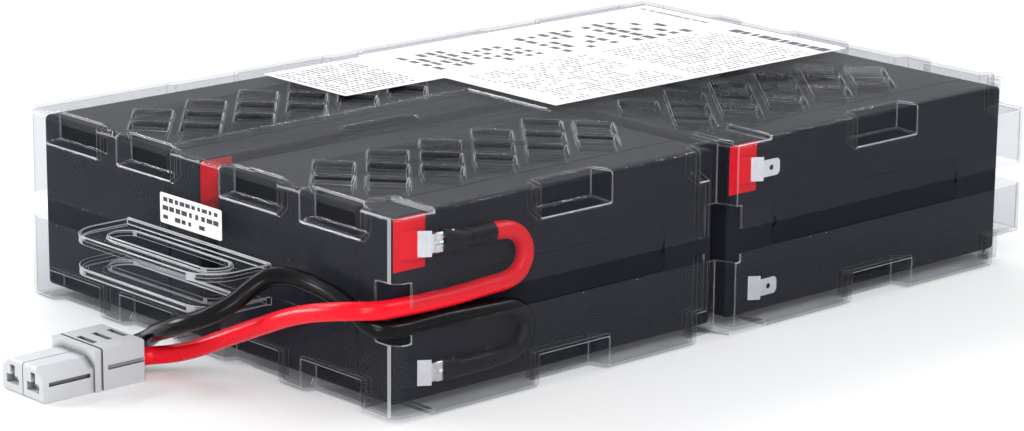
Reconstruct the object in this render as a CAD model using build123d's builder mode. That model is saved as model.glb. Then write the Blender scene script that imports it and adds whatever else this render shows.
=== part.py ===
"""UPS battery cartridge: four sealed lead-acid batteries between two clear thermoformed half shells.

Units are millimetres, with +Z up. The shell's long side runs along X, its short side along Y, and the
origin is the middle of the underside of the pack, handles included and loose leads left out.
"""

import os
from math import hypot, pi, radians, tan

from build123d import *

os.makedirs("parts", exist_ok=True)

# Sealed batteries, lying on their wide sides with their lid faces towards -Y
battery_length = 151.0
battery_depth = 94.0
battery_height = 65.0
battery_edge = 2.0
face_edge = 1.0
lid_depth = 18.0
seam_chamfer = 0.8
bay_gap = 8.0
column_gap = 10.0

# Terminals, measured on one battery from its -X end and its underside
terminal_inset = 10.2
collar_length = 14.5
collar_height = 19.0
collar_wall = 0.6
collar_depth = 8.0
collar_band = 1.2
collar_band_rise = 0.4
boss_start = 3.4
boss_end = 8.8
boss_rise = 2.8
boss_height = 9.6
tab_thickness = 0.8
tab_width = 6.35
tab_foot_width = 9.0
tab_stand_off = 4.2
tab_root = 2.4
tab_root_rise = 1.0
tab_bend = 13.6
tab_end = 22.0
tab_corner = 1.2
tab_hole = 2.0
tab_hole_from_end = 4.4

# Vent cover, flush in a recess of each lid face
vent_length = 104.0
vent_height = 17.0
vent_thickness = 1.4
vent_radius = 3.0
vent_clearance = 0.2
vent_notch = 2.4

# Clear half shells
wall = 1.0
front_gap = 5.0
end_gap = 5.5
terminal_gap = 8.0
back_gap = 3.0
corner_radius = 5.0
edge_radius = 2.5
cover_edge_gap = 3.0
tray_edge_gap = 5.5

# Rhombic cells pressed into the wide faces, which bear on the batteries
cell_depth = 2.6
cell_pitch_x = 24.5
cell_pitch_y = 28.8
cell_share = 0.78
cell_draft = 20.0
cell_first_x = 9.9
cell_middle_y = 42.4
bay_one_cells = 6
bay_two_shift = 7
bay_two_cells = 5

# Locating pockets along the top and bottom edges of the walls
pocket_height = 12.1
pocket_draft = 3.0
ledge_rise = 1.7
end_pocket_width = 27.0
end_pocket_spread = 44.0
side_pocket_width = 28.0
corner_pocket_width = 15.0
valley_width = 9.0
valley_lead = 1.0
junction_width = 14.0

# Relief of the wide faces above the terminals, and the lower band with an oval dip over the column gap
relief_depth = 1.6
relief_length = 17.0
relief_width = 22.0
relief_lead = 5.0
spine_near = 74.0
spine_far = 118.5
spine_length = 146.0
spine_depth = 0.6
dip_length = 35.0
dip_width = 7.4
dip_depth = 5.0
dip_draft = 8.0
dip_centre_x = 78.5

# Openings in the walls that let leads out
notch_front = 10.5
notch_side = 7.0
notch_bay = 10.0
cover_notch_height = 9.0
tray_notch_height = 3.3

# Handles, one flange on each half shell
handle_reach = 28.0
handle_width = 82.0
handle_radius = 13.0
handle_middle_y = 97.5
handle_plate = 1.0
handle_lip = 3.0
slot_length = 62.0
slot_width = 11.0
slot_from_wall = 7.0
slot_lip = 2.2

# Labels
label_thickness = 0.25
top_label_length = 160.0
top_label_width = 115.0
top_label_start_x = 144.0
top_label_start_y = 75.0
top_label_ear_length = 49.5
top_label_ear_width = 49.5
top_label_ear_from_edge = 3.0
front_label_width = 35.3
front_label_height = 11.0
front_label_middle_y = 101.2
front_label_rise = 44.6

# Leads and their push-on ends
lead_diameter = 6.4
lead_stand_off = 3.75
bend_share = 0.45
receptacle_start = 15.0
receptacle_sleeve = 8.0
receptacle_end = 30.0
receptacle_width = 7.2
receptacle_thickness = 2.4
receptacle_round = 0.8
receptacle_fit = 0.1
receptacle_slit = 1.2
barrel_diameter = 4.6
boot_start = 18.6
boot_neck = 26.0
boot_end = 41.0
boot_width = 8.2
boot_thickness = 4.6
boot_round = 1.5
boot_diameter = 7.0
red_boot_drop = 0.6
black_boot_drop = 0.5

# Two-pole connector, lying on the floor in front of the handles
connector_rear_gap = 31.6
connector_middle_y = 98.5
connector_width = 25.0
connector_height = 15.0
connector_block = 21.4
connector_flange = 3.4
connector_groove = 0.6
connector_groove_width = 1.0
connector_edge = 0.8
prong_length = 21.0
prong_width = 11.6
prong_height = 12.0
prong_outer_height = 8.4
prong_slope = 4.5
pole_pitch = 12.0
pole_height = 6.6
lead_bore_clearance = 0.25
lead_bore_depth = 5.4
contact_floor = 3.2
contact_width = 6.4
contact_thickness = 1.6
contact_round = 0.5
contact_setback = 2.5
contact_barrel = 5.0
contact_clearance = 0.1
contact_overlap = 2.0
mouth_width = 7.2
mouth_bar = 3.0
mouth_stem = 2.6
mouth_height = 6.6
mouth_depth = 16.0
side_slot_length = 17.0
side_slot_from_root = 1.5
side_slot_height = 1.5
side_slot_level = 5.6
side_slot_depth = 1.2
top_slot_length = 2.2
top_slot_width = 10.0
top_slot_depth = 2.5
top_slot_pitch = 6.4
top_slot_count = 3
top_slot_from_rear = 9.4
rail_depth = 0.8
rail_height = 1.6
rail_length = 16.0
rail_level = 7.0

# Places worked out from the sizes above
shell_length = 2 * wall + front_gap + 2 * battery_length + bay_gap + end_gap
shell_width = 2 * wall + terminal_gap + 2 * battery_depth + column_gap + back_gap
shell_height = 2 * (wall + cell_depth) + battery_height
shell_middle = shell_height / 2
front_face = (handle_reach - shell_length) / 2
end_face = front_face + shell_length
terminal_face = -shell_width / 2
back_face = shell_width / 2
first_x = front_face + wall + front_gap
first_y = terminal_face + wall + terminal_gap
first_z = wall + cell_depth
bay_pitch = battery_length + bay_gap
column_pitch = battery_depth + column_gap
valley_x = first_x + battery_length + valley_lead - valley_width / 2
positive_z = battery_height - terminal_inset
negative_z = terminal_inset


def save(part, name):
    part.label = name
    export_step(part, "parts/" + name + ".step")


def facing(corner, setback=0.0):
    """A plane parallel to the lid faces, its normal towards -Y, `setback` behind a corner."""
    return Plane(corner + Vector(0, setback, 0), x_dir=(1, 0, 0), z_dir=(0, -1, 0))


def level(corner, height):
    """A horizontal plane, `height` above a corner."""
    return Plane(corner + Vector(0, 0, height))


# Batteries: each is built from its corner nearest to the origin's -X, -Y and lower side


def battery_case(corner):
    """The moulded case, from its lid seam to the closed bottom at +Y."""
    case_depth = battery_depth - lid_depth
    with BuildPart() as case:
        with BuildSketch(facing(corner, lid_depth)):
            Rectangle(battery_length, battery_height, align=(Align.MIN, Align.MIN))
        extrude(amount=-case_depth)
        fillet(case.edges().filter_by(Axis.Y), battery_edge)
        chamfer(case.faces().sort_by(Axis.Y)[0].edges(), seam_chamfer)
        fillet(case.faces().sort_by(Axis.Y)[-1].edges(), face_edge)
    return case.part


def lid_blank(corner):
    """The lid's outer form, before anything is let into it."""
    with BuildPart() as blank:
        with BuildSketch(facing(corner)):
            Rectangle(battery_length, battery_height, align=(Align.MIN, Align.MIN))
        extrude(amount=-lid_depth)
        fillet(blank.edges().filter_by(Axis.Y), battery_edge)
        chamfer(blank.faces().sort_by(Axis.Y)[-1].edges(), seam_chamfer)
        fillet(blank.faces().sort_by(Axis.Y)[0].edges(), face_edge)
    return blank.part


def collar_space(corner):
    """The room for the positive terminal's collar, inside a thin wall at the lid's end and top."""
    with BuildPart() as space:
        with BuildSketch(facing(corner)) as outline:
            with Locations((collar_wall, battery_height - collar_wall)):
                Rectangle(
                    collar_length - collar_wall,
                    collar_height - collar_wall,
                    align=(Align.MIN, Align.MAX),
                )
            upper = outline.vertices().group_by(Axis.Z)[-1]
            fillet(upper.sort_by(Axis.X)[0], battery_edge - collar_wall)
        extrude(amount=-collar_depth)
    return space.part


def terminal_boss(corner, height):
    """The wedge that a tab comes out of."""
    with BuildPart() as boss:
        with BuildSketch(level(corner, height)):
            with BuildLine():
                Polyline((boss_start, 0), (boss_end, -boss_rise), (boss_end, 0), close=True)
            make_face()
        extrude(amount=boss_height / 2, both=True)
    return boss.part


def tab_blank(corner, height):
    """A tab's bent strip, as wide as its foot all along."""
    with BuildPart() as strip:
        with BuildSketch(level(corner, height)):
            with BuildLine():
                Polyline(
                    (boss_end - tab_root, -tab_root_rise),
                    (boss_end, -tab_root_rise),
                    (tab_bend, -tab_stand_off),
                    (tab_end, -tab_stand_off),
                )
            trace(line_width=tab_thickness)
        extrude(amount=tab_foot_width / 2, both=True)
    return strip.part


def terminal_tab(strip, corner, height):
    """The strip cut to a wide foot and a narrower blade with a hole."""
    with BuildPart() as tab:
        add(strip)
        with BuildSketch(facing(corner, battery_depth)) as outline:
            with Locations((tab_bend, height)):
                Rectangle(tab_bend, tab_foot_width, align=(Align.MAX, Align.CENTER))
                Rectangle(tab_end - tab_bend, tab_width, align=(Align.MIN, Align.CENTER))
            chamfer(outline.vertices().group_by(Axis.X)[-1], tab_corner)
            with Locations((tab_end - tab_hole_from_end, height)):
                Circle(tab_hole / 2, mode=Mode.SUBTRACT)
        extrude(amount=2 * battery_depth, mode=Mode.INTERSECT)
    return tab.part


def positive_collar(blank, space, boss, strip, corner):
    """The coloured collar of the positive terminal, with a raised band and the tab's boss."""
    with BuildPart() as collar:
        add(blank)
        add(space, mode=Mode.INTERSECT)
        add(boss)
        with BuildSketch(facing(corner, -collar_band_rise)):
            with Locations((battery_edge, battery_height - collar_height / 2)):
                Rectangle(boss_start - battery_edge, collar_band, align=(Align.MIN, Align.CENTER))
        extrude(amount=-collar_band_rise)
        add(strip, mode=Mode.SUBTRACT)
    return collar.part


def battery_lid(blank, space, boss, strip, corner):
    """The lid, with room for the collar, the negative boss and the vent cover's recess."""
    with BuildPart() as lid:
        add(blank)
        add(boss)
        add(space, mode=Mode.SUBTRACT)
        add(strip, mode=Mode.SUBTRACT)
        with BuildSketch(facing(corner)):
            with Locations((battery_length / 2, battery_height / 2)):
                RectangleRounded(vent_length, vent_height, vent_radius)
        extrude(amount=-vent_thickness, mode=Mode.SUBTRACT)
    return lid.part


def vent_cover(corner):
    """The flush cover over the safety vents, with a pry notch at each end."""
    width = vent_length - 2 * vent_clearance
    height = vent_height - 2 * vent_clearance
    with BuildPart() as cover:
        with BuildSketch(facing(corner)):
            with Locations((battery_length / 2, battery_height / 2)):
                RectangleRounded(width, height, vent_radius - vent_clearance)
                with GridLocations(width, 0, 2, 1):
                    Circle(vent_notch, mode=Mode.SUBTRACT)
        extrude(amount=-vent_thickness)
    return cover.part


battery_corners = [
    Vector(first_x + column * bay_pitch, first_y + row * column_pitch, first_z)
    for row in range(2)
    for column in range(2)
]
for number, corner in enumerate(battery_corners, start=1):
    name = f"battery_{number}_"
    blank = lid_blank(corner)
    space = collar_space(corner)
    positive_boss = terminal_boss(corner, positive_z)
    negative_boss = terminal_boss(corner, negative_z)
    positive_strip = tab_blank(corner, positive_z)
    negative_strip = tab_blank(corner, negative_z)
    save(battery_case(corner), name + "case")
    save(battery_lid(blank, space, negative_boss, negative_strip, corner), name + "lid")
    save(vent_cover(corner), name + "vent_cover")
    save(positive_collar(blank, space, positive_boss, positive_strip, corner), name + "positive_collar")
    save(terminal_tab(positive_strip, corner, positive_z), name + "positive_tab")
    save(terminal_tab(negative_strip, corner, negative_z), name + "negative_tab")


# Half shells: both are made as a cover with its closed face up, and the tray is turned over afterwards


def cell_places():
    """Centres of the rhombic cells: staggered rows over each column, none over the bay gap."""
    places = []
    for row in range(2):
        middle = first_y + row * column_pitch + cell_middle_y
        for index in range(bay_one_cells):
            x = first_x + cell_first_x + index * cell_pitch_x
            places.append((x, middle))
            if index < bay_one_cells - 1:
                places.append((x + cell_pitch_x / 2, middle - cell_pitch_y / 2))
                places.append((x + cell_pitch_x / 2, middle + cell_pitch_y / 2))
        for index in range(bay_two_shift, bay_two_shift + bay_two_cells):
            x = first_x + cell_first_x + index * cell_pitch_x
            places.append((x, middle))
            places.append((x - cell_pitch_x / 2, middle - cell_pitch_y / 2))
            places.append((x - cell_pitch_x / 2, middle + cell_pitch_y / 2))
    return places


def cell_form(inset):
    """One cell's hollow, hanging from the closed face; `inset` steps from the outer skin inwards."""
    half_x = cell_share * cell_pitch_x / 2
    half_y = cell_share * cell_pitch_y / 2
    slant = hypot(half_x, half_y)
    reach_x = half_x + inset * slant / half_y
    reach_y = half_y + inset * slant / half_x
    with BuildPart() as cell:
        with BuildSketch(Plane.XY.offset(shell_height)):
            Polygon((reach_x, 0), (0, reach_y), (-reach_x, 0), (0, -reach_y))
        extrude(amount=-(cell_depth + inset), taper=cell_draft)
    return cell.part


def hollow_plan(low, width, gap, inset):
    """Plan of a hollow in a wall, open outwards (-Y), its sides drafted towards the opening."""
    depth = gap + inset
    half = width / 2 + inset
    flare = half + pocket_draft * (depth + wall) / (gap + wall)
    with BuildSketch(Plane.XY.offset(low)) as plan:
        with BuildLine():
            Polyline((-flare, -wall), (flare, -wall), (half, depth), (-half, depth), close=True)
        make_face()
    return plan.sketch


def wall_pocket(width, gap, inset):
    """One locating pocket along the top edge of a wall, with a ledge that rises inwards."""
    low = shell_height - pocket_height - inset
    high = shell_height + wall
    plan = hollow_plan(low, width, gap, inset)
    with BuildPart() as pocket:
        extrude(plan, amount=high - low)
        with BuildSketch(Plane.YZ):
            with BuildLine():
                Polyline(
                    (-wall, low),
                    (gap + inset, low + ledge_rise),
                    (gap + inset, high),
                    (-wall, high),
                    close=True,
                )
            make_face()
        extrude(amount=width, both=True, mode=Mode.INTERSECT)
    return pocket.part


def wall_valley(gap, inset):
    """A groove in a wall over its whole height, between two bays."""
    plan = hollow_plan(0, valley_width, gap, inset)
    with BuildPart() as valley:
        extrude(plan, amount=shell_height + wall)
    return valley.part


def wall_hollows(inset):
    """Every pocket and valley in the four walls, each already in its place."""
    end_ys = [
        first_y + row * column_pitch + battery_depth / 2 + side * end_pocket_spread / 2
        for row in range(2)
        for side in (-1, 1)
    ]
    side_xs = [first_x + bay * bay_pitch + battery_length / 2 for bay in range(2)]
    junction_x = valley_x + (valley_width - junction_width) / 2
    places = []
    for y in end_ys:
        places.append((wall_pocket(end_pocket_width, front_gap, inset), front_face, y, -90))
        places.append((wall_pocket(end_pocket_width, end_gap, inset), end_face, y, 90))
    for face, gap, turn in ((terminal_face, terminal_gap, 0), (back_face, back_gap, 180)):
        for x in side_xs:
            places.append((wall_pocket(side_pocket_width, gap, inset), x, face, turn))
        places.append((wall_pocket(2 * corner_pocket_width, gap, inset), end_face, face, turn))
        places.append((wall_pocket(2 * corner_pocket_width, end_gap, inset), end_face, face, 90))
        places.append((wall_pocket(junction_width, gap, inset), junction_x, face, turn))
        places.append((wall_valley(gap, inset), valley_x, face, turn))
    return [hollow.locate(Location((x, y, 0), (0, 0, turn))) for hollow, x, y, turn in places]


def moulded_form(edge_gap, inset):
    """The block that one skin of a half shell follows: the outer skin at 0, the inner one a wall inside."""
    parting = shell_middle + edge_gap
    cell = cell_form(inset)
    hollows = wall_hollows(inset)
    with BuildPart() as form:
        with BuildSketch(Plane.XY.offset(parting - inset)):
            with Locations((front_face + shell_length / 2, 0)):
                RectangleRounded(shell_length - 2 * inset, shell_width - 2 * inset, corner_radius - inset)
        extrude(amount=shell_height - parting)
        fillet(form.faces().sort_by(Axis.Z)[-1].edges(), edge_radius - inset)
        add(hollows, mode=Mode.SUBTRACT)
        with Locations(*cell_places()):
            add(cell, mode=Mode.SUBTRACT)

        # Lower band over the column gap, and its oval dip
        with BuildSketch(Plane.XY.offset(shell_height)):
            with Locations((front_face - wall, first_y + spine_near - inset)):
                Rectangle(
                    spine_length + inset,
                    spine_far - spine_near + 2 * inset,
                    align=(Align.MIN, Align.MIN),
                )
        extrude(amount=-(spine_depth + inset), mode=Mode.SUBTRACT)
        with BuildSketch(Plane.XY.offset(shell_height)):
            with Locations((first_x + dip_centre_x, first_y + battery_depth + column_gap / 2)):
                SlotOverall(dip_length + 2 * inset, dip_width + 2 * inset)
        extrude(amount=-(dip_depth + inset), taper=dip_draft, mode=Mode.SUBTRACT)

        # Relief above the terminals of each near battery
        with BuildSketch(Plane.XY.offset(shell_height)):
            with Locations(
                (front_face - wall, terminal_face - wall),
                (first_x + bay_pitch - relief_lead - inset, terminal_face - wall),
            ):
                Rectangle(
                    relief_length + wall + inset,
                    relief_width + wall + inset,
                    align=(Align.MIN, Align.MIN),
                )
        extrude(amount=-(relief_depth + inset), mode=Mode.SUBTRACT)
    return form.part


def handle_flange(parting):
    """A handle: a flat plate with a lip along its free edges and another round its finger slot."""
    middle_y = first_y + handle_middle_y
    slot_x = front_face - slot_from_wall - slot_width / 2
    root = wall / 2
    with BuildPart() as flange:
        with BuildSketch(Plane.XY.offset(parting)) as outline:
            with Locations((front_face + root, middle_y)):
                Rectangle(handle_reach + root, handle_width, align=(Align.MAX, Align.CENTER))
            fillet(outline.vertices().group_by(Axis.X)[0], handle_radius)
        extrude(amount=handle_lip)
        with BuildSketch(Plane.XY.offset(parting + handle_plate)) as tray:
            with Locations((front_face - wall, middle_y)):
                Rectangle(handle_reach - 2 * wall, handle_width - 2 * wall, align=(Align.MAX, Align.CENTER))
            fillet(tray.vertices().group_by(Axis.X)[0], handle_radius - wall)
        extrude(amount=handle_lip, mode=Mode.SUBTRACT)
        with BuildSketch(Plane.XY.offset(parting)):
            with Locations((slot_x, middle_y)):
                SlotOverall(slot_length + 2 * wall, slot_width + 2 * wall, rotation=90)
        extrude(amount=slot_lip)
        with BuildSketch(Plane.XY.offset(parting)):
            with Locations((slot_x, middle_y)):
                SlotOverall(slot_length, slot_width, rotation=90)
        extrude(amount=handle_lip, mode=Mode.SUBTRACT)
    return flange.part


def half_shell(edge_gap, notch_height):
    """One thermoformed half as a cover: two skins, its handle and the openings that let leads out."""
    parting = shell_middle + edge_gap
    outer_skin = moulded_form(edge_gap, 0)
    inner_skin = moulded_form(edge_gap, wall)
    flange = handle_flange(parting)
    with BuildPart() as half:
        add(outer_skin)
        add(inner_skin, mode=Mode.SUBTRACT)
        add(flange)
        with BuildSketch(Plane.XY.offset(parting)):
            with Locations((front_face - wall, terminal_face - wall)):
                Rectangle(notch_side + wall, notch_front + wall, align=(Align.MIN, Align.MIN))
            with Locations((valley_x + valley_width / 2, terminal_face - wall)):
                Rectangle(notch_bay, terminal_gap + 2 * wall, align=(Align.CENTER, Align.MIN))
        extrude(amount=notch_height, mode=Mode.SUBTRACT)
    return half.part


top_cover = half_shell(cover_edge_gap, cover_notch_height)
save(top_cover, "top_cover")
upturned_tray = half_shell(tray_edge_gap, tray_notch_height)
with BuildPart() as bottom_tray:
    add(mirror(upturned_tray, about=Plane.XY.offset(shell_middle), mode=Mode.PRIVATE))
save(bottom_tray.part, "bottom_tray")


# Labels

with BuildPart() as top_label:
    with BuildSketch(Plane.XY.offset(shell_height)):
        with Locations((first_x + top_label_start_x, first_y + top_label_start_y)):
            Rectangle(top_label_length, top_label_width, align=(Align.MIN, Align.MIN))
        ear_top = first_y + top_label_start_y + top_label_width - top_label_ear_from_edge
        with Locations((first_x + top_label_start_x, ear_top)):
            Rectangle(top_label_ear_length, top_label_ear_width, align=(Align.MAX, Align.MAX))
    extrude(amount=label_thickness)
save(top_label.part, "top_label")

label_middle = (front_face, first_y + front_label_middle_y, front_label_rise)
with BuildPart() as front_label:
    with BuildSketch(Plane(label_middle, x_dir=(0, -1, 0), z_dir=(-1, 0, 0))):
        Rectangle(front_label_width, front_label_height, align=(Align.CENTER, Align.MIN))
    extrude(amount=label_thickness)
save(front_label.part, "front_label")


# Push-on ends of the two leads, on the first battery's tabs


def across(corner, x, y, z):
    """A plane across the leads' first run, its normal towards +X and its own X axis along +Y."""
    return Plane(corner + Vector(x, y, z), x_dir=(0, 1, 0), z_dir=(1, 0, 0))


def receptacle(corner, height):
    """A push-on receptacle: a sleeve with rolled edges round the blade, and its crimped barrel."""
    mouth = across(corner, receptacle_start, -tab_stand_off, height)
    with BuildPart() as terminal:
        with BuildSketch(mouth):
            RectangleRounded(receptacle_thickness, receptacle_width, receptacle_round)
        extrude(amount=receptacle_sleeve)
        with BuildSketch(mouth):
            Rectangle(tab_thickness + receptacle_fit, tab_width + receptacle_fit)
            with Locations((-receptacle_thickness / 2, 0)):
                Rectangle(receptacle_thickness, receptacle_slit)
        extrude(amount=tab_end + receptacle_fit - receptacle_start, mode=Mode.SUBTRACT)
        with BuildSketch(mouth.offset(receptacle_sleeve)):
            Circle(barrel_diameter / 2)
        extrude(amount=receptacle_end - receptacle_start - receptacle_sleeve)
    return terminal.part


def lead_boot(corner, height, drop):
    """The insulating boot over a receptacle, flat at the tab and round at the lead."""
    with BuildPart() as boot:
        with BuildSketch(across(corner, boot_start, -tab_stand_off, height)):
            RectangleRounded(boot_thickness, boot_width, boot_round)
        with BuildSketch(across(corner, boot_neck, -lead_stand_off, height - drop)):
            Circle(boot_diameter / 2)
        loft()
        extrude(boot.faces().sort_by(Axis.X)[-1], amount=boot_end - boot_neck)
        with BuildSketch(across(corner, boot_start, -tab_stand_off, height)):
            RectangleRounded(receptacle_thickness, receptacle_width, receptacle_round)
        extrude(amount=receptacle_start + receptacle_sleeve - boot_start, mode=Mode.SUBTRACT)
        with BuildSketch(across(corner, boot_start, -tab_stand_off, height)):
            Circle(barrel_diameter / 2)
        extrude(amount=receptacle_end - boot_start, mode=Mode.SUBTRACT)
    return boot.part


first_corner = battery_corners[0]
for colour, height, drop in (("red", positive_z, red_boot_drop), ("black", negative_z, black_boot_drop)):
    save(receptacle(first_corner, height), colour + "_receptacle")
    save(lead_boot(first_corner, height, drop), colour + "_boot")


# Connector: its rear face is towards the handles, its two prongs point to -X

connector_rear = front_face - connector_rear_gap
connector_y = first_y + connector_middle_y
prong_root = connector_rear - connector_block
prong_tip = prong_root - prong_length
lead_bore = lead_diameter + 2 * lead_bore_clearance
contact_rear = connector_rear - lead_bore_depth
mouth_end = prong_tip + mouth_depth


def prong_section(side):
    """Section of one prong seen along X, its top sloping down on the outer side."""
    inner = connector_y + side * (pole_pitch - prong_width) / 2
    outer = inner + side * prong_width
    with BuildSketch(Plane((prong_root, 0, 0), x_dir=(0, 1, 0), z_dir=(1, 0, 0))) as section:
        with BuildLine():
            Polyline(
                (inner, 0),
                (outer, 0),
                (outer, prong_outer_height),
                (outer - side * prong_slope, prong_height),
                (inner, prong_height),
                close=True,
            )
        make_face()
    return section.sketch


def prong(side):
    """One prong, with its mouth at the tip and a slot along its outer side."""
    section = prong_section(side)
    pole_y = connector_y + side * pole_pitch / 2
    outer = connector_y + side * (pole_pitch + prong_width) / 2
    with BuildPart() as body:
        extrude(section, amount=-prong_length)
        chamfer(body.faces().sort_by(Axis.X)[0].edges().filter_by(Axis.Y), connector_edge)
        with BuildSketch(Plane((prong_tip, pole_y, 0), x_dir=(0, 1, 0), z_dir=(1, 0, 0))):
            with Locations((0, contact_floor)):
                Rectangle(mouth_stem, mouth_height, align=(Align.CENTER, Align.MIN))
            with Locations((0, contact_floor)):
                Rectangle(mouth_width, mouth_bar, align=(Align.CENTER, Align.MIN))
        extrude(amount=mouth_depth, mode=Mode.SUBTRACT)
        with BuildSketch(Plane((0, outer, side_slot_level), x_dir=(1, 0, 0), z_dir=(0, side, 0))):
            with Locations((prong_root - side_slot_from_root, 0)):
                Rectangle(side_slot_length, side_slot_height, align=(Align.MAX, Align.MIN))
        extrude(amount=-side_slot_depth, mode=Mode.SUBTRACT)
    return body.part


prongs = [prong(side) for side in (-1, 1)]
with BuildPart() as connector_housing:
    # Rear block and the flange at its front, with a groove behind it
    with BuildSketch():
        with Locations((connector_rear, connector_y)):
            Rectangle(connector_block, connector_width, align=(Align.MAX, Align.CENTER))
    extrude(amount=connector_height)
    fillet(connector_housing.edges().filter_by(Axis.X).group_by(Axis.Z)[-1], connector_edge)
    chamfer(connector_housing.faces().sort_by(Axis.X)[-1].edges().group_by(Axis.Z)[-1], connector_edge)
    with BuildSketch(Plane((prong_root + connector_flange, 0, 0), x_dir=(0, 1, 0), z_dir=(1, 0, 0))) as ring:
        with Locations((connector_y, 0)):
            Rectangle(connector_width, connector_height, align=(Align.CENTER, Align.MIN))
        with Locations((connector_y, 0)):
            Rectangle(
                connector_width - 2 * connector_groove,
                connector_height - connector_groove,
                align=(Align.CENTER, Align.MIN),
                mode=Mode.SUBTRACT,
            )
    extrude(amount=-connector_groove_width, mode=Mode.SUBTRACT)

    # Prongs, and the slots and rails of the block
    add(prongs)
    with BuildSketch(Plane.XY.offset(connector_height)):
        with Locations((connector_rear - top_slot_from_rear, connector_y)):
            with GridLocations(top_slot_pitch, 0, top_slot_count, 1):
                Rectangle(top_slot_length, top_slot_width)
    extrude(amount=-top_slot_depth, mode=Mode.SUBTRACT)
    for side in (-1, 1):
        side_y = connector_y + side * connector_width / 2
        with BuildSketch(Plane((connector_rear, side_y, rail_level), x_dir=(1, 0, 0), z_dir=(0, side, 0))):
            Rectangle(rail_length, rail_height, align=(Align.MAX, Align.MIN))
        extrude(amount=-rail_depth, mode=Mode.SUBTRACT)

    # Bores for the leads, each meeting the back of its contact's seat
    with BuildSketch(Plane((connector_rear, connector_y, pole_height), x_dir=(0, 1, 0), z_dir=(1, 0, 0))):
        with GridLocations(pole_pitch, 0, 2, 1):
            Circle(lead_bore / 2)
    extrude(amount=-lead_bore_depth, mode=Mode.SUBTRACT)
    with BuildSketch(Plane((contact_rear, connector_y, pole_height), x_dir=(0, 1, 0), z_dir=(1, 0, 0))):
        with GridLocations(pole_pitch, 0, 2, 1):
            Circle(contact_barrel / 2 + contact_clearance)
    extrude(amount=mouth_end - contact_overlap - contact_rear, mode=Mode.SUBTRACT)
save(connector_housing.part, "connector_housing")


def contact(side):
    """One silvered contact: a flat blade on the mouth's floor and the barrel that holds the lead."""
    pole_y = connector_y + side * pole_pitch / 2
    with BuildPart() as metal:
        with BuildSketch(Plane.XY.offset(contact_floor)):
            with Locations((prong_tip + contact_setback, pole_y)):
                Rectangle(
                    mouth_depth - contact_setback,
                    contact_width,
                    align=(Align.MIN, Align.CENTER),
                )
        extrude(amount=contact_thickness)
        fillet(metal.edges().filter_by(Axis.Y).group_by(Axis.X)[0], contact_round)
        with BuildSketch(Plane((contact_rear, pole_y, pole_height), x_dir=(0, 1, 0), z_dir=(1, 0, 0))):
            Circle(contact_barrel / 2)
        extrude(amount=mouth_end - contact_overlap - contact_rear)
    return metal.part


save(contact(-1), "red_contact")
save(contact(1), "black_contact")


# Leads: hand-chosen points of each route, from the boot to the connector

red_route = [
    (-100.25, -100.25, 57.8),
    (-94.6, -100.25, 57.8),
    (-88.9, -100.25, 55.9),
    (-85.2, -100.25, 51.4),
    (-85.0, -100.25, 45.6),
    (-88.3, -100.25, 41.0),
    (-94.0, -100.25, 39.3),
    (-101.3, -100.25, 39.2),
    (-111.3, -100.25, 38.6),
    (-122.3, -100.25, 38.3),
    (-133.3, -100.25, 38.5),
    (-143.7, -100.35, 38.9),
    (-151.2, -100.5, 39.5),
    (-157.1, -95.3, 39.5),
    (-159.5, -87.1, 37.9),
    (-160.5, -77.1, 35.4),
    (-160.9, -66.5, 31.8),
    (-161.2, -55.0, 26.8),
    (-161.8, -42.5, 21.3),
    (-163.1, -31.1, 16.0),
    (-165.5, -20.9, 11.0),
    (-169.3, -11.7, 7.8),
    (-174.85, -4.0, 6.6),
    (-184.25, -4.0, 6.6),
]
black_route = [
    (-100.25, -100.25, 13.3),
    (-94.2, -100.25, 13.3),
    (-88.2, -100.25, 14.6),
    (-84.5, -100.25, 19.0),
    (-84.6, -100.25, 24.7),
    (-88.4, -100.25, 29.0),
    (-94.1, -100.25, 30.3),
    (-102.3, -100.25, 30.6),
    (-112.8, -100.25, 31.1),
    (-123.8, -100.25, 31.5),
    (-134.0, -100.25, 31.3),
    (-141.2, -100.25, 31.2),
    (-147.5, -100.25, 31.4),
    (-151.8, -95.9, 32.8),
    (-152.3, -88.0, 35.2),
    (-151.9, -77.5, 37.8),
    (-151.8, -66.5, 38.6),
    (-152.6, -57.5, 39.4),
    (-155.9, -50.9, 39.0),
    (-161.3, -46.9, 35.8),
    (-167.6, -45.0, 31.4),
    (-173.0, -41.8, 24.4),
    (-173.1, -31.7, 20.2),
    (-171.5, -19.0, 18.0),
    (-170.2, -8.3, 15.4),
    (-168.6, 1.0, 9.6),
    (-174.85, 8.0, 6.6),
    (-184.25, 8.0, 6.6),
]


def lead(name, route):
    """A lead as a round tube along its route, each corner rounded as far as its runs allow."""
    points = [Vector(point) for point in route]
    runs = [after - before for before, after in zip(points, points[1:])]
    radii = []
    for before, after in zip(runs, runs[1:]):
        shorter = min(before.length, after.length)
        radii.append(bend_share * shorter / tan(radians(before.get_angle(after)) / 2))
    with BuildPart() as tube:
        with BuildLine() as path:
            FilletPolyline(*points, radius=radii)
        with BuildSketch(Plane(points[0], z_dir=runs[0])):
            Circle(lead_diameter / 2)
        sweep(path=path.wires()[0])
    length = path.wires()[0].length
    section_area = pi * lead_diameter**2 / 4
    print(name, "length", round(length, 1), "radii", [round(radius, 1) for radius in radii])
    print(name, "volume over section times length", round(tube.part.volume / (length * section_area), 4))
    save(tube.part, name)


lead("red_lead", red_route)
lead("black_lead", black_route)
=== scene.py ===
"""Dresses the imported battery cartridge: clear shells, batteries, labels, leads and connector.

Lengths are metres in the shared frame, +Z up, with the shells' long side along X. Sizes that are
read more easily in millimetres are multiplied by MM.
"""

from math import cos, radians, sin

import bmesh
import bpy
from mathutils import Matrix, Vector


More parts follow.
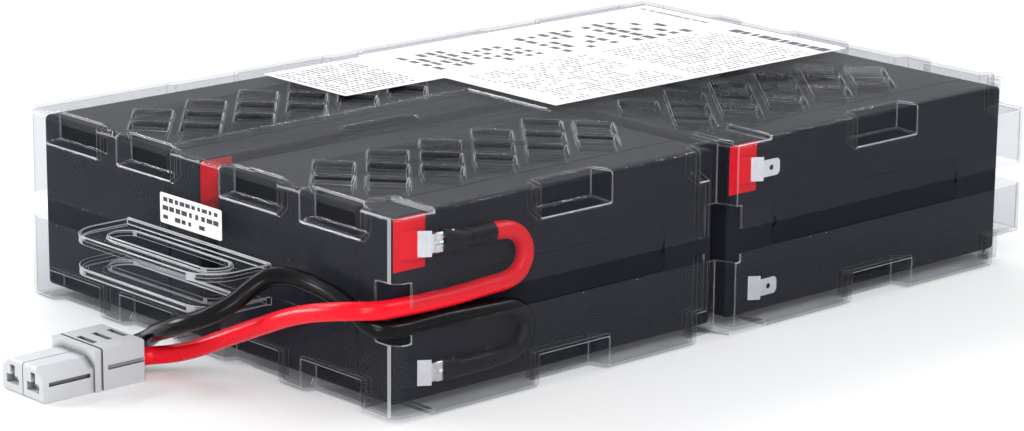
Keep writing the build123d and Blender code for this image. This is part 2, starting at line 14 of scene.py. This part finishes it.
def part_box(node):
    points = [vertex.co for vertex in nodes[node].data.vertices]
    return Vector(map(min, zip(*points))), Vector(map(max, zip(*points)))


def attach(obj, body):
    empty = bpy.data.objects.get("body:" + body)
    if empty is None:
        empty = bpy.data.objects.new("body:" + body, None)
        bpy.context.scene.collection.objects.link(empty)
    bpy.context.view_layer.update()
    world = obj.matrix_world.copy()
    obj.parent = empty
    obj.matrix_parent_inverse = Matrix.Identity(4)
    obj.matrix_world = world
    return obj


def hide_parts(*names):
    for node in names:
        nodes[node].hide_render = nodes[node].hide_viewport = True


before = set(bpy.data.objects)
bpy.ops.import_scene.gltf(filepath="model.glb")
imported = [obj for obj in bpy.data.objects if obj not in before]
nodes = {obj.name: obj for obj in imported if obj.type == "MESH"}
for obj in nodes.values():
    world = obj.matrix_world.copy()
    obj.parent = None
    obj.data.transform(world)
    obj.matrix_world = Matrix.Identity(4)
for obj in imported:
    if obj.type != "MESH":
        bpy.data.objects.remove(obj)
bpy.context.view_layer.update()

MM = 0.001
BATTERIES = range(1, 5)

# Camera, as the photograph was taken
CAMERA_PLACE = (-0.8462, -0.9237, 0.3546)
CAMERA_AZIMUTH = -42.52
CAMERA_ELEVATION = 14.69
CAMERA_ROLL = 0.53
CAMERA_LENS = 120.2
SENSOR_WIDTH = 36.0

# Floor and world
FLOOR_REACH = 6.0
FLOOR_LEVEL = -0.1 * MM
FLOOR_LIFT = 0.10
AMBIENT_STRENGTH = 0.5
SHOWN_STRENGTH = 1.0

# Surfaces, with noise scales in marks per metre
GRAIN_DEPTH = 0.02 * MM
PLASTIC_CLOUD, PLASTIC_GRAIN, LEAD_GRAIN = 35.0, 900.0, 700.0
METAL_CLOUD = 250.0
ROLLING_MARKS = (60.0, 1200.0, 1200.0)
PAPER_CLOUD, PAPER_FIBRES = 60.0, 1400.0
INK_GRAIN = 2400.0
SHEET_FLOW = 28.0
SHEET_WAVE = 0.2 * MM
SHEET_GLOSS = (0.03, 0.08)
# Painted shade in narrow slots and grooves: how far it reaches, how fast it deepens and its colour
HOLLOW_REACH = 3 * MM
HOLLOW_POWER = 2.0
PAINTED_SHADE_COLOUR = (0.01, 0.01, 0.012)

# Clear sheet: its colour where it is seen edge on, its haze, and how fast both grow with the slant
EDGE_ON = (0.45, 0.455, 0.47)
SHEET_HAZE = (0.8, 0.82, 0.88)
BEND_HAZE = (0.9, 0.92, 0.95)
RIM_POWER = 5.0
VEIL_POWER = 8.0

# Half shells
MERGE_GAP = 0.002 * MM
BEND_WIDTH = 0.35 * MM
BEND_SEGMENTS = 2
FLAT_ANGLE = radians(0.5)
SHARP_ANGLE = radians(30)
NORMAL_WEIGHT = 80
OUTSIDE_GAP = 0.6 * MM
FRONT_FACE = -147.25 * MM
COVER_RIM = 39.1 * MM
TRAY_RIM = 30.6 * MM
CELL_DEPTH = 2.7 * MM
# Material slots of a half shell: flat sheet, folded sheet and a painted glint
FLAT, FOLD, PAINTED_GLINT = range(3)
# Parts of a face's normal, Z for ledges and X for corners, by which bends are told apart and faces
# are picked for the painted glint
LEDGE_TILT = 0.25
CORNER_LOW, CORNER_HIGH = 0.93, 0.99
CELL_CORNER = 0.85

# Labels
LABEL_THICKNESS = 0.21 * MM
LABEL_CORNER = 0.8 * MM
LABEL_STEPS = 5
EAR_END = 2.75 * MM
EAR_LOW = 41.0 * MM
EAR_HIGH = 90.5 * MM
PRINT_LEVEL = 0.235 * MM

# Leads
LEAD_DIAMETER = 6.4 * MM
RED_ROUTE = (
    (-100.25, -100.25, 57.8), (-94.6, -100.25, 57.8), (-88.9, -100.25, 55.9),
    (-85.2, -100.25, 51.4), (-85.0, -100.25, 45.6), (-88.3, -100.25, 41.0),
    (-94.0, -100.25, 39.3), (-101.3, -100.25, 39.2), (-111.3, -100.25, 38.6),
    (-122.3, -100.25, 38.3), (-133.3, -100.25, 38.5), (-143.7, -100.35, 38.9),
    (-151.2, -100.5, 39.5), (-157.1, -95.3, 39.5), (-159.5, -87.1, 37.9),
    (-160.5, -77.1, 35.4), (-160.9, -66.5, 31.8), (-161.2, -55.0, 26.8),
    (-161.8, -42.5, 21.3), (-163.1, -31.1, 16.0), (-165.5, -20.9, 11.0),
    (-169.3, -11.7, 7.8), (-174.85, -4.0, 6.6), (-184.25, -4.0, 6.6),
)
BLACK_ROUTE = (
    (-100.25, -100.25, 13.3), (-94.2, -100.25, 13.3), (-88.2, -100.25, 14.6),
    (-84.5, -100.25, 19.0), (-84.6, -100.25, 24.7), (-88.4, -100.25, 29.0),
    (-94.1, -100.25, 30.3), (-102.3, -100.25, 30.6), (-112.8, -100.25, 31.1),
    (-123.8, -100.25, 31.5), (-134.0, -100.25, 31.3), (-141.2, -100.25, 31.2),
    (-147.4, -100.25, 31.7), (-151.3, -96.1, 33.7), (-151.8, -88.2, 38.2),
    (-151.9, -77.7, 41.0), (-151.8, -66.5, 42.0), (-153.2, -57.5, 42.9),
    (-157.4, -51.5, 42.2), (-162.5, -48.3, 38.2), (-168.4, -45.8, 33.2),
    (-174.8, -41.0, 28.9), (-179.0, -31.0, 24.8), (-178.2, -20.6, 20.2),
    (-173.8, -9.6, 16.2), (-169.2, 0.8, 10.6), (-174.85, 8.0, 6.6), (-184.25, 8.0, 6.6),
)


def new_object(name, data):
    made = bpy.data.objects.new(name, data)
    bpy.context.scene.collection.objects.link(made)
    return made


# Materials


def new_material(name):
    material = bpy.data.materials.new(name)
    material.use_nodes = True
    material.node_tree.nodes.clear()
    return material


def add_node(tree, kind, inputs=None, **settings):
    """A node with its settings, and its inputs linked to a socket or given a value."""
    made = tree.nodes.new(kind)
    for key, value in settings.items():
        setattr(made, key, value)
    for name, value in (inputs or {}).items():
        if isinstance(value, bpy.types.NodeSocket):
            tree.links.new(value, made.inputs[name])
        else:
            made.inputs[name].default_value = value
    return made


def show(tree, shader):
    output = tree.nodes.new("ShaderNodeOutputMaterial")
    tree.links.new(shader, output.inputs["Surface"])


def place(tree):
    return add_node(tree, "ShaderNodeTexCoord").outputs["Object"]


def noise(tree, scale, detail=3.0, where=None):
    made = add_node(
        tree,
        "ShaderNodeTexNoise",
        {"Vector": where or place(tree), "Scale": scale, "Detail": detail},
    )
    return made.outputs["Fac"]


def between(tree, factor, low, high):
    """The factor's 0 to 1 spread over low to high."""
    made = add_node(tree, "ShaderNodeMapRange", {"Value": factor, "To Min": low, "To Max": high})
    return made.outputs["Result"]


def two_tones(tree, factor, first, second):
    made = add_node(
        tree, "ShaderNodeMix", {"Factor": factor, "A": first, "B": second}, data_type="RGBA"
    )
    return made.outputs["Result"]


def to_power(tree, value, power):
    made = add_node(tree, "ShaderNodeMath", {0: value, 1: power}, operation="POWER")
    return made.outputs[0]


def bumps(tree, height, depth, strength):
    made = add_node(
        tree, "ShaderNodeBump", {"Height": height, "Distance": depth, "Strength": strength}
    )
    return made.outputs["Normal"]


def rgba(red, green, blue):
    return (red, green, blue, 1.0)


def paint_hollow_shade(tree, colour):
    """The colour, with painted shade where a narrow slot or groove closes it in."""
    around = add_node(
        tree, "ShaderNodeAmbientOcclusion", {"Distance": HOLLOW_REACH}, only_local=True, samples=8
    )
    open_share = to_power(tree, around.outputs["AO"], HOLLOW_POWER)
    return two_tones(tree, open_share, rgba(*PAINTED_SHADE_COLOUR), colour)


def moulded_plastic(name, colour, tint, gloss, grain=PLASTIC_GRAIN, painted_hollow_shade=False, **sockets):
    """Moulded plastic: cloudy colour, uneven gloss and a fine grain, with painted shade in its
    hollows if asked.
    """
    material = new_material(name)
    tree = material.node_tree
    where = place(tree)
    cloud = noise(tree, PLASTIC_CLOUD, 4.0, where)
    fine = noise(tree, grain, 2.0, where)
    mottled = two_tones(tree, cloud, rgba(*colour), rgba(*tint))
    inputs = {
        "Base Color": paint_hollow_shade(tree, mottled) if painted_hollow_shade else mottled,
        "Roughness": between(tree, cloud, *gloss),
        "Normal": bumps(tree, fine, GRAIN_DEPTH, 0.3),
    }
    shader = add_node(tree, "ShaderNodeBsdfPrincipled", inputs | sockets)
    show(tree, shader.outputs["BSDF"])
    return material


def bright_metal(name, colour, gloss):
    """Tinned or silvered metal with fine rolling marks along X."""
    material = new_material(name)
    tree = material.node_tree
    drawn_out = add_node(
        tree, "ShaderNodeMapping", {"Vector": place(tree), "Scale": ROLLING_MARKS}
    )
    marks = noise(tree, 1.0, 2.0, drawn_out.outputs["Vector"])
    cloud = noise(tree, METAL_CLOUD)
    dull = tuple(0.82 * part for part in colour)
    shader = add_node(
        tree,
        "ShaderNodeBsdfPrincipled",
        {
            "Base Color": two_tones(tree, cloud, rgba(*colour), rgba(*dull)),
            "Metallic": 1.0,
            "Roughness": between(tree, marks, *gloss),
            "Normal": bumps(tree, marks, GRAIN_DEPTH, 0.4),
        },
    )
    show(tree, shader.outputs["BSDF"])
    return material


def clear_sheet(name, clearness, mirror, haze_colour, haze_range):
    """Thermoformed clear sheet, see-through and glossy, darker and hazier the more it slants."""
    material = new_material(name)
    tree = material.node_tree
    flow = noise(tree, SHEET_FLOW, 2.0)
    waves = bumps(tree, flow, SHEET_WAVE, 0.3)
    facing = add_node(tree, "ShaderNodeLayerWeight", {"Blend": 0.5, "Normal": waves})
    slant = facing.outputs["Facing"]
    rim = to_power(tree, slant, RIM_POWER)
    veil = to_power(tree, slant, VEIL_POWER)
    film = add_node(
        tree,
        "ShaderNodeBsdfTransparent",
        {"Color": two_tones(tree, rim, rgba(*clearness), rgba(*EDGE_ON))},
    )
    shine = add_node(
        tree,
        "ShaderNodeBsdfGlossy",
        {
            "Color": rgba(0.97, 0.98, 1.0),
            "Roughness": between(tree, flow, *SHEET_GLOSS),
            "Normal": waves,
        },
    )
    coated = add_node(
        tree,
        "ShaderNodeMixShader",
        {0: between(tree, veil, *mirror), 1: film.outputs[0], 2: shine.outputs[0]},
    )
    haze = add_node(tree, "ShaderNodeBsdfDiffuse", {"Color": rgba(*haze_colour)})
    sheet = add_node(
        tree,
        "ShaderNodeMixShader",
        {0: between(tree, veil, *haze_range), 1: coated.outputs[0], 2: haze.outputs[0]},
    )
    show(tree, sheet.outputs[0])
    return material


def plain_paper(name):
    material = new_material(name)
    tree = material.node_tree
    where = place(tree)
    fibres = noise(tree, PAPER_FIBRES, 4.0, where)
    cloud = noise(tree, PAPER_CLOUD, 3.0, where)
    pale, shaded = rgba(0.82, 0.825, 0.83), rgba(0.77, 0.775, 0.78)
    shader = add_node(
        tree,
        "ShaderNodeBsdfPrincipled",
        {
            "Base Color": two_tones(tree, cloud, pale, shaded),
            "Roughness": between(tree, fibres, 0.45, 0.6),
            "Normal": bumps(tree, fibres, GRAIN_DEPTH, 0.4),
        },
    )
    show(tree, shader.outputs["BSDF"])
    return material


def ink_film(name, colour):
    material = new_material(name)
    tree = material.node_tree
    patchy = noise(tree, INK_GRAIN, 2.0)
    worn = tuple(1.35 * part for part in colour)
    shader = add_node(
        tree,
        "ShaderNodeBsdfPrincipled",
        {
            "Base Color": two_tones(tree, patchy, rgba(*colour), rgba(*worn)),
            "Roughness": between(tree, patchy, 0.4, 0.55),
        },
    )
    show(tree, shader.outputs["BSDF"])
    return material


battery_plastic = moulded_plastic(
    "battery_plastic", (0.012, 0.0125, 0.019), (0.015, 0.0155, 0.023), (0.34, 0.44), IOR=1.12
)
vent_plastic = moulded_plastic(
    "vent_plastic", (0.010, 0.0105, 0.016), (0.013, 0.0135, 0.019), (0.4, 0.55), IOR=1.12
)
collar_plastic = moulded_plastic(
    "collar_plastic", (0.86, 0.008, 0.022), (0.76, 0.006, 0.016), (0.28, 0.4), IOR=1.16
)
boot_plastic = moulded_plastic(
    "boot_plastic", (0.003, 0.003, 0.004), (0.006, 0.006, 0.007), (0.22, 0.34), IOR=1.2
)
red_insulation = moulded_plastic(
    "red_insulation",
    (0.84, 0.005, 0.020),
    (0.74, 0.003, 0.012),
    (0.22, 0.32),
    grain=LEAD_GRAIN,
    IOR=1.27,
)
black_insulation = moulded_plastic(
    "black_insulation",
    (0.002, 0.002, 0.003),
    (0.004, 0.004, 0.005),
    (0.18, 0.28),
    grain=LEAD_GRAIN,
    IOR=1.22,
)
# The connector housing gets painted shade in its slots and grooves
housing_plastic = moulded_plastic(
    "housing_plastic", (0.52, 0.53, 0.55), (0.47, 0.48, 0.50), (0.32, 0.45), painted_hollow_shade=True
)
tinned_metal = bright_metal("tinned_metal", (0.86, 0.86, 0.87), (0.16, 0.32))
silvered_metal = bright_metal("silvered_metal", (0.82, 0.82, 0.83), (0.2, 0.36))
cover_pet = clear_sheet(
    "cover_pet", (0.905, 0.909, 0.918), (0.006, 0.25), SHEET_HAZE, (0.003, 0.07)
)
tray_pet = clear_sheet("tray_pet", (0.90, 0.904, 0.914), (0.008, 0.3), SHEET_HAZE, (0.003, 0.09))
folded_pet = clear_sheet("folded_pet", (0.88, 0.885, 0.895), (0.03, 0.3), BEND_HAZE, (0.05, 0.8))
# A brighter copy of the clear sheet: a painted glint for picked bends and corners
painted_glint_pet = clear_sheet("painted_glint_pet", (0.86, 0.865, 0.875), (0.06, 0.4), BEND_HAZE, (0.28, 0.6))
label_paper = plain_paper("label_paper")


def dress(node, material):
    slots = nodes[node].data.materials
    slots.clear()
    slots.append(material)


for number in BATTERIES:
    dress(f"battery_{number}_case", battery_plastic)
    dress(f"battery_{number}_lid", battery_plastic)
    dress(f"battery_{number}_vent_cover", vent_plastic)
    dress(f"battery_{number}_positive_collar", collar_plastic)
    dress(f"battery_{number}_positive_tab", tinned_metal)
    dress(f"battery_{number}_negative_tab", tinned_metal)
for colour in ("red", "black"):
    dress(colour + "_receptacle", tinned_metal)
    dress(colour + "_boot", boot_plastic)
    dress(colour + "_contact", silvered_metal)
dress("connector_housing", housing_plastic)


# Half shells


def bend_finish(spot, normal, low, high, rim):
    """The material of a bend: flat at the free rim; a painted glint beyond the front face, on outer
    ledges and in cell corners; folded elsewhere.
    """
    if spot.x < FRONT_FACE - OUTSIDE_GAP:
        return PAINTED_GLINT
    if abs(spot.z - rim) < OUTSIDE_GAP:
        return FLAT
    gaps = (spot.x - FRONT_FACE, high.x - spot.x, spot.y - low.y, high.y - spot.y)
    depth = min(spot.z - low.z, high.z - spot.z)
    ledge = min(gaps) < OUTSIDE_GAP and abs(normal.z) > LEDGE_TILT
    cell_corner = depth < CELL_DEPTH and abs(normal.x) > CELL_CORNER
    return PAINTED_GLINT if ledge or cell_corner else FOLD


def corner_glint(spot, normal, high):
    """Whether a face is the narrow part of a rounded upright corner, which gets a painted glint."""
    upright = abs(normal.z) < LEDGE_TILT and CORNER_LOW < abs(normal.x) < CORNER_HIGH
    return upright and min(spot.x - FRONT_FACE, high.x - spot.x) < OUTSIDE_GAP


def eased_shell(node, name, flat, rim):
    """A half shell from its packed form, with every sharp bend eased and in its own material, and a
    painted glint on picked bends and upright corners.
    """
    form = bmesh.new()
    form.from_mesh(nodes[node].data)
    bmesh.ops.remove_doubles(form, verts=form.verts, dist=MERGE_GAP)
    bmesh.ops.dissolve_limit(form, angle_limit=FLAT_ANGLE, verts=form.verts, edges=form.edges)
    mesh = bpy.data.meshes.new(name + "_blank")
    form.to_mesh(mesh)
    form.free()
    for material in (flat, folded_pet, painted_glint_pet):
        mesh.materials.append(material)
    mesh.shade_smooth()
    blank = new_object(name + "_blank", mesh)
    easing = blank.modifiers.new("bends", "BEVEL")
    easing.width = BEND_WIDTH
    easing.segments = BEND_SEGMENTS
    easing.limit_method = "ANGLE"
    easing.angle_limit = SHARP_ANGLE
    easing.use_clamp_overlap = False
    easing.miter_outer = "MITER_ARC"
    easing.material = FOLD
    evening = blank.modifiers.new("even", "WEIGHTED_NORMAL")
    evening.weight = NORMAL_WEIGHT
    evening.keep_sharp = True
    evaluated = blank.evaluated_get(bpy.context.evaluated_depsgraph_get())
    finished = bpy.data.meshes.new_from_object(evaluated)
    bpy.data.objects.remove(blank)
    low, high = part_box(node)
    for vertex in finished.vertices:
        vertex.co = [min(max(part, a), b) for part, a, b in zip(vertex.co, low, high)]
    # Bends get their material, and picked bends and narrow upright corners take the painted glint
    for polygon in finished.polygons:
        if polygon.material_index == FOLD:
            polygon.material_index = bend_finish(polygon.center, polygon.normal, low, high, rim)
        elif corner_glint(polygon.center, polygon.normal, high):
            polygon.material_index = PAINTED_GLINT
    piece = new_object(name, finished)
    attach(piece, "root")
    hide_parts(node)


eased_shell("top_cover", "clear_top_cover", cover_pet, COVER_RIM)
eased_shell("bottom_tray", "clear_bottom_tray", tray_pet, TRAY_RIM)


# Labels


def label_sheet(name, node, corners, facing):
    """A die-cut label with rounded corners, its corners in the plane that facing puts in place."""
    outline = bmesh.new()
    ring = []
    for index, corner in enumerate(corners):
        corner = Vector(corner)
        before = (Vector(corners[index - 1]) - corner).normalized()
        after = (Vector(corners[(index + 1) % len(corners)]) - corner).normalized()
        middle = corner + LABEL_CORNER * (before + after)
        for step in range(LABEL_STEPS + 1):
            part = step / LABEL_STEPS * radians(90)
            ring.append(middle - LABEL_CORNER * (sin(part) * before + cos(part) * after))
    vertices = [outline.verts.new((*spot, 0)) for spot in ring]
    face = outline.faces.new(vertices)
    raised = bmesh.ops.extrude_face_region(outline, geom=[face])
    lifted = [item for item in raised["geom"] if isinstance(item, bmesh.types.BMVert)]
    bmesh.ops.translate(outline, verts=lifted, vec=(0, 0, LABEL_THICKNESS))
    bmesh.ops.recalc_face_normals(outline, faces=outline.faces)
    bmesh.ops.transform(outline, matrix=facing, verts=outline.verts)
    mesh = bpy.data.meshes.new(name)
    outline.to_mesh(mesh)
    outline.free()
    mesh.materials.append(label_paper)
    piece = new_object(name, mesh)
    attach(piece, "root")
    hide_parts(node)


def printing_tree():
    """Rows of short marks inside a rectangle, some of them left out, each a little different."""
    tree = bpy.data.node_groups.new("printed_rows", "GeometryNodeTree")
    sockets = {}
    for name, kind in (
        ("Area Width", "Float"), ("Area Height", "Float"), ("Columns", "Int"), ("Rows", "Int"),
        ("Mark Length", "Float"), ("Mark Height", "Float"), ("Left Out", "Float"), ("Seed", "Int"),
        ("Middle", "Vector"), ("Ink", "Material"),
    ):
        made = tree.interface.new_socket(name, in_out="INPUT", socket_type="NodeSocket" + kind)
        sockets[name] = made.identifier
    tree.interface.new_socket("Geometry", in_out="OUTPUT", socket_type="NodeSocketGeometry")
    given = tree.nodes.new("NodeGroupInput").outputs
    field = add_node(
        tree,
        "GeometryNodeMeshGrid",
        {
            "Size X": given["Area Width"],
            "Size Y": given["Area Height"],
            "Vertices X": given["Columns"],
            "Vertices Y": given["Rows"],
        },
    )
    chance = add_node(
        tree,
        "FunctionNodeRandomValue",
        {"Probability": given["Left Out"], "Seed": given["Seed"]},
        data_type="BOOLEAN",
    )
    kept = add_node(
        tree,
        "GeometryNodeDeleteGeometry",
        {"Geometry": field.outputs["Mesh"], "Selection": chance.outputs[3]},
    )
    mark = add_node(
        tree,
        "GeometryNodeMeshGrid",
        {
            "Size X": given["Mark Length"],
            "Size Y": given["Mark Height"],
            "Vertices X": 2,
            "Vertices Y": 2,
        },
    )
    spread = add_node(
        tree,
        "FunctionNodeRandomValue",
        {0: (0.55, 0.8, 1.0), 1: (1.2, 1.0, 1.0), "Seed": given["Seed"]},
        data_type="FLOAT_VECTOR",
    )
    marks = add_node(
        tree,
        "GeometryNodeInstanceOnPoints",
        {
            "Points": kept.outputs["Geometry"],
            "Instance": mark.outputs["Mesh"],
            "Scale": spread.outputs[0],
        },
    )
    moved = add_node(
        tree,
        "GeometryNodeTransform",
        {"Geometry": marks.outputs["Instances"], "Translation": given["Middle"]},
    )
    solid = add_node(tree, "GeometryNodeRealizeInstances", {"Geometry": moved.outputs["Geometry"]})
    inked = add_node(
        tree,
        "GeometryNodeSetMaterial",
        {"Geometry": solid.outputs["Geometry"], "Material": given["Ink"]},
    )
    result = tree.nodes.new("NodeGroupOutput")
    tree.links.new(inked.outputs["Geometry"], result.inputs["Geometry"])
    return tree, sockets


def printed_marks(name, areas, facing):
    """Generic print, one piece for all the areas of a label."""
    sheet = bmesh.new()
    inks = []
    for middle, size, counts, mark, left_out, seed, ink in areas:
        host = new_object("rows", bpy.data.meshes.new("rows"))
        printing = host.modifiers.new("rows", "NODES")
        printing.node_group = print_tree
        for socket, value in (
            ("Area Width", MM * size[0]), ("Area Height", MM * size[1]),
            ("Columns", counts[0]), ("Rows", counts[1]),
            ("Mark Length", MM * mark[0]), ("Mark Height", MM * mark[1]),
            ("Left Out", left_out), ("Seed", seed),
            ("Middle", (MM * middle[0], MM * middle[1], 0.0)), ("Ink", ink),
        ):
            printing[print_sockets[socket]] = value
        evaluated = host.evaluated_get(bpy.context.evaluated_depsgraph_get())
        rows = bpy.data.meshes.new_from_object(evaluated)
        if ink not in inks:
            inks.append(ink)
        for polygon in rows.polygons:
            polygon.material_index = inks.index(ink)
        sheet.from_mesh(rows)
        bpy.data.objects.remove(host)
        bpy.data.meshes.remove(rows)
    bmesh.ops.transform(sheet, matrix=facing, verts=sheet.verts)
    mesh = bpy.data.meshes.new(name)
    sheet.to_mesh(mesh)
    sheet.free()
    for ink in inks:
        mesh.materials.append(ink)
    piece = new_object(name, mesh)
    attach(piece, "root")


top_low, top_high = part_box("top_label")
front_low, front_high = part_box("front_label")
# The print is read from the back of the pack: along -Y on top, with its rows towards -X
top_turn = Matrix(((0, 1, 0), (-1, 0, 0), (0, 0, 1))).to_4x4()
front_turn = Matrix(((0, 0, -1), (-1, 0, 0), (0, 1, 0))).to_4x4()
top_outline = (
    (top_high.x, top_low.y), (top_high.x, top_high.y), (EAR_END, top_high.y),
    (EAR_END, EAR_HIGH), (top_low.x, EAR_HIGH), (top_low.x, EAR_LOW),
    (EAR_END, EAR_LOW), (EAR_END, top_low.y),
)
label_sheet("top_label_sheet", "top_label", top_outline, Matrix.Translation((0, 0, top_low.z)))
front_middle = (front_low + front_high) / 2
half_width = (front_high.y - front_low.y) / 2
half_height = (front_high.z - front_low.z) / 2
front_outline = (
    (half_width, -half_height), (half_width, half_height),
    (-half_width, half_height), (-half_width, -half_height),
)
label_sheet(
    "front_label_sheet",
    "front_label",
    front_outline,
    Matrix.Translation((front_high.x, front_middle.y, front_middle.z)) @ front_turn,
)

print_tree, print_sockets = printing_tree()
grey_ink = ink_film("grey_ink", (0.13, 0.13, 0.14))
black_ink = ink_film("black_ink", (0.012, 0.012, 0.014))
# Areas of print: middle, size, columns and rows, a mark's size, share left out, seed and ink, with
# lengths in millimetres
TOP_AREAS = (
    ((-65.0, -26.0), (40.0, 36.0), (13, 16), (2.7, 1.5), 0.15, 1, grey_ink),
    ((-66.0, 22.0), (22.0, 20.0), (4, 5), (5.8, 3.2), 0.22, 2, black_ink),
    ((-60.0, 50.0), (19.0, 22.0), (4, 5), (4.9, 3.4), 0.25, 3, black_ink),
    ((-61.0, 86.0), (28.0, 26.0), (5, 5), (5.6, 3.8), 0.25, 4, black_ink),
    ((-60.0, 124.0), (30.0, 28.0), (5, 5), (5.9, 3.9), 0.25, 5, black_ink),
    ((-6.5, 153.0), (48.0, 0.0), (10, 1), (4.8, 5.4), 0.05, 6, black_ink),
    ((-70.0, 156.0), (36.0, 0.0), (8, 1), (4.2, 2.2), 0.1, 7, grey_ink),
    ((-9.0, 113.0), (54.0, 60.0), (17, 24), (2.7, 1.3), 0.28, 8, grey_ink),
    ((-9.0, 42.0), (54.0, 60.0), (17, 24), (2.7, 1.3), 0.45, 9, grey_ink),
)
printed_marks(
    "top_label_print",
    TOP_AREAS,
    Matrix.Translation((0, 0, top_low.z + PRINT_LEVEL)) @ top_turn,
)
FRONT_AREAS = (
    ((0.0, 3.3), (29.0, 0.0), (10, 1), (2.6, 1.7), 0.06, 11, black_ink),
    ((0.0, 0.2), (29.0, 0.0), (9, 1), (2.9, 1.9), 0.08, 12, black_ink),
    ((-4.0, -3.1), (21.0, 0.0), (7, 1), (2.7, 1.7), 0.1, 13, black_ink),
)
printed_marks(
    "front_label_print",
    FRONT_AREAS,
    Matrix.Translation((front_high.x - PRINT_LEVEL, front_middle.y, front_middle.z)) @ front_turn,
)


# Leads


def lead(name, route, material):
    """A lead's centreline as one smooth spline with a round section."""
    curve = bpy.data.curves.new(name, "CURVE")
    curve.dimensions = "3D"
    spline = curve.splines.new("NURBS")
    spline.points.add(len(route) - 1)
    for point, spot in zip(spline.points, route):
        point.co = (*(MM * part for part in spot), 1.0)
    spline.order_u = 3
    spline.use_endpoint_u = True
    spline.resolution_u = 10
    curve.bevel_depth = LEAD_DIAMETER / 2
    curve.bevel_resolution = 8
    curve.use_fill_caps = True
    curve.materials.append(material)
    piece = new_object(name, curve)
    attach(piece, "root")
    return piece


red_lead = lead("red_lead_insulation", RED_ROUTE, red_insulation)
black_lead = lead("black_lead_insulation", BLACK_ROUTE, black_insulation)
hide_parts("red_lead")
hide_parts("black_lead")


# Floor, lamps, world and camera


def seen_share(tree):
    """1 on the rays that the picture is seen by, straight or in a mirror, and 0 on the others."""
    path = add_node(tree, "ShaderNodeLightPath").outputs
    seen = add_node(tree, "ShaderNodeMath", {0: path["Is Camera Ray"], 1: path["Is Glossy Ray"]})
    seen = add_node(
        tree, "ShaderNodeMath", {0: seen.outputs[0], 1: path["Is Transmission Ray"]}, use_clamp=True
    )
    return seen.outputs[0]


def soft_floor():
    mesh = bpy.data.meshes.new("floor")
    corners = [
        (FLOOR_REACH * x, FLOOR_REACH * y, FLOOR_LEVEL)
        for x, y in ((-1, -1), (1, -1), (1, 1), (-1, 1))
    ]
    mesh.from_pydata(corners, [], [(0, 1, 2, 3)])
    floor = new_object("floor", mesh)
    material = new_material("floor")
    tree = material.node_tree
    lift = between(tree, seen_share(tree), 0.0, FLOOR_LIFT)
    glow = add_node(tree, "ShaderNodeEmission", {"Color": rgba(1, 1, 1), "Strength": lift})
    matt = add_node(tree, "ShaderNodeBsdfDiffuse", {"Color": rgba(0.8, 0.8, 0.8)})
    both = add_node(tree, "ShaderNodeAddShader", {0: glow.outputs[0], 1: matt.outputs[0]})
    show(tree, both.outputs[0])
    mesh.materials.append(material)


def softbox(name, spot, target, width, height, power):
    light = bpy.data.lights.new(name, "AREA")
    light.shape = "RECTANGLE"
    light.size = width
    light.size_y = height
    light.energy = power
    lamp = new_object(name, light)
    lamp.location = spot
    lamp.rotation_euler = (Vector(target) - Vector(spot)).to_track_quat("-Z", "Y").to_euler()


def white_world():
    world = bpy.data.worlds.new("studio")
    bpy.context.scene.world = world
    world.use_nodes = True
    tree = world.node_tree
    tree.nodes.clear()
    ambient = add_node(
        tree,
        "ShaderNodeBackground",
        {"Color": rgba(0.93, 0.96, 1.0), "Strength": AMBIENT_STRENGTH},
    )
    shown = add_node(
        tree, "ShaderNodeBackground", {"Color": rgba(1, 1, 1), "Strength": SHOWN_STRENGTH}
    )
    mixed = add_node(
        tree,
        "ShaderNodeMixShader",
        {0: seen_share(tree), 1: ambient.outputs[0], 2: shown.outputs[0]},
    )
    output = tree.nodes.new("ShaderNodeOutputWorld")
    tree.links.new(mixed.outputs[0], output.inputs["Surface"])


def photo_camera():
    azimuth, elevation = radians(CAMERA_AZIMUTH), radians(CAMERA_ELEVATION)
    back = Vector(
        (sin(azimuth) * cos(elevation), -cos(azimuth) * cos(elevation), sin(elevation))
    )
    right = Vector((cos(azimuth), sin(azimuth), 0))
    up = back.cross(right)
    turn = radians(CAMERA_ROLL)
    rolled_right = cos(turn) * right + sin(turn) * up
    rolled_up = cos(turn) * up - sin(turn) * right
    data = bpy.data.cameras.new("camera")
    data.lens = CAMERA_LENS
    data.sensor_width = SENSOR_WIDTH
    camera = new_object("camera", data)
    stance = Matrix((rolled_right, rolled_up, back)).transposed().to_4x4()
    camera.matrix_world = Matrix.Translation(CAMERA_PLACE) @ stance
    bpy.context.scene.camera = camera


# Lamps: name, place, what it points at, width, height and power in watts
LAMPS = (
    ("key", (-0.9, -1.3, 1.2), (0, 0, 0), 0.9, 0.7, 21),
    ("side", (-0.85, 1.05, 0.42), (-0.15, -0.03, 0.03), 0.6, 0.3, 12),
    ("rim", (0.9, 1.3, 1.3), (0, 0, 0), 1.0, 0.3, 11),
    ("low", (-0.95, -1.05, 0.16), (-0.1, -0.05, 0.03), 0.3, 0.22, 4),
    ("back_strip", (-0.37, 1.14, 1.0), (0, 0, 0.03), 1.0, 0.05, 5),
    ("right_strip", (1.04, -0.37, 1.1), (0, 0, 0.03), 1.0, 0.05, 7),
)
soft_floor()
for lamp in LAMPS:
    softbox(*lamp)
white_world()
photo_camera()
bpy.context.scene.view_settings.view_transform = "Standard"
